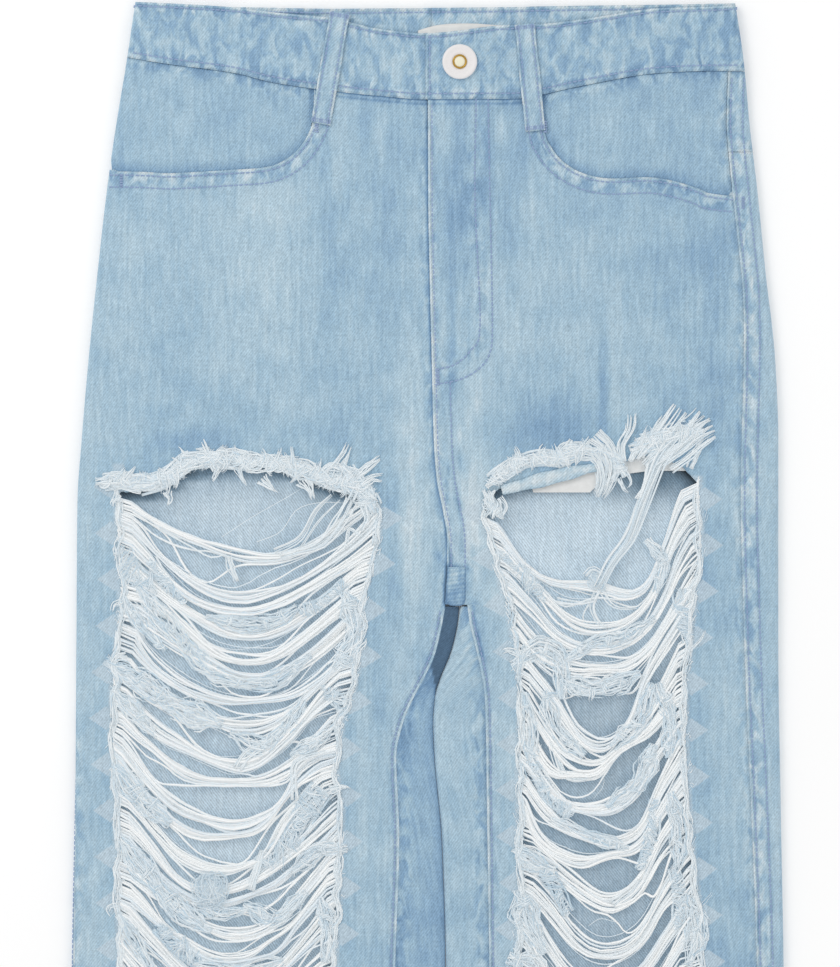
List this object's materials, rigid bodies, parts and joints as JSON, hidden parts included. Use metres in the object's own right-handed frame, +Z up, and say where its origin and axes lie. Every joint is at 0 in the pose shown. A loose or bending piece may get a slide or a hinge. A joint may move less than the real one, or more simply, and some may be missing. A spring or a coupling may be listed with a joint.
{
  "type": "ripped jeans",
  "caption": "Pale blue high-rise straight-leg jeans, buttoned and laid flat on their back, with a large shredded rip on the front of each leg.",
  "frame": {"origin": "middle of the bottom of the bounding box, on the surface the jeans lie on", "axes": "+Y towards the waist, along the length; +X across, towards the wearer's left leg; +Z up, out of the front of the jeans"},
  "size_m": [0.4338, 1.061, 0.0123],
  "materials": {
    "denim": "washed pale blue twill",
    "cotton": "plain white cotton",
    "yarn": "loose white weft yarn",
    "button_face": "satin pale disc",
    "brass": "polished"
  },
  "bodies": {
    "root": {"front_right": "denim", "front_left": "denim", "back_right": "denim", "back_left": "denim", "yoke_right": "denim", "yoke_left": "denim", "waistband_front_right": "denim", "waistband_front_left": "denim", "waistband_back": "denim", "pocket_facing_right": "denim", "pocket_facing_left": "denim", "back_pocket_right": "denim", "back_pocket_left": "denim", "fly_facing": "denim", "fly_shield": "denim", "belt_loop_front_right": "denim", "belt_loop_front_left": "denim", "belt_loop_back_right": "denim", "belt_loop_back_centre": "denim", "belt_loop_back_left": "denim", "pocket_bag_right": "cotton", "pocket_bag_left": "cotton", "waistband_tape": "cotton", "zip": "cotton", "rip_web_right": "yarn", "rip_web_left": "yarn", "button_disc": "button_face", "button_hub": "brass"}
  },
  "joints": []
}
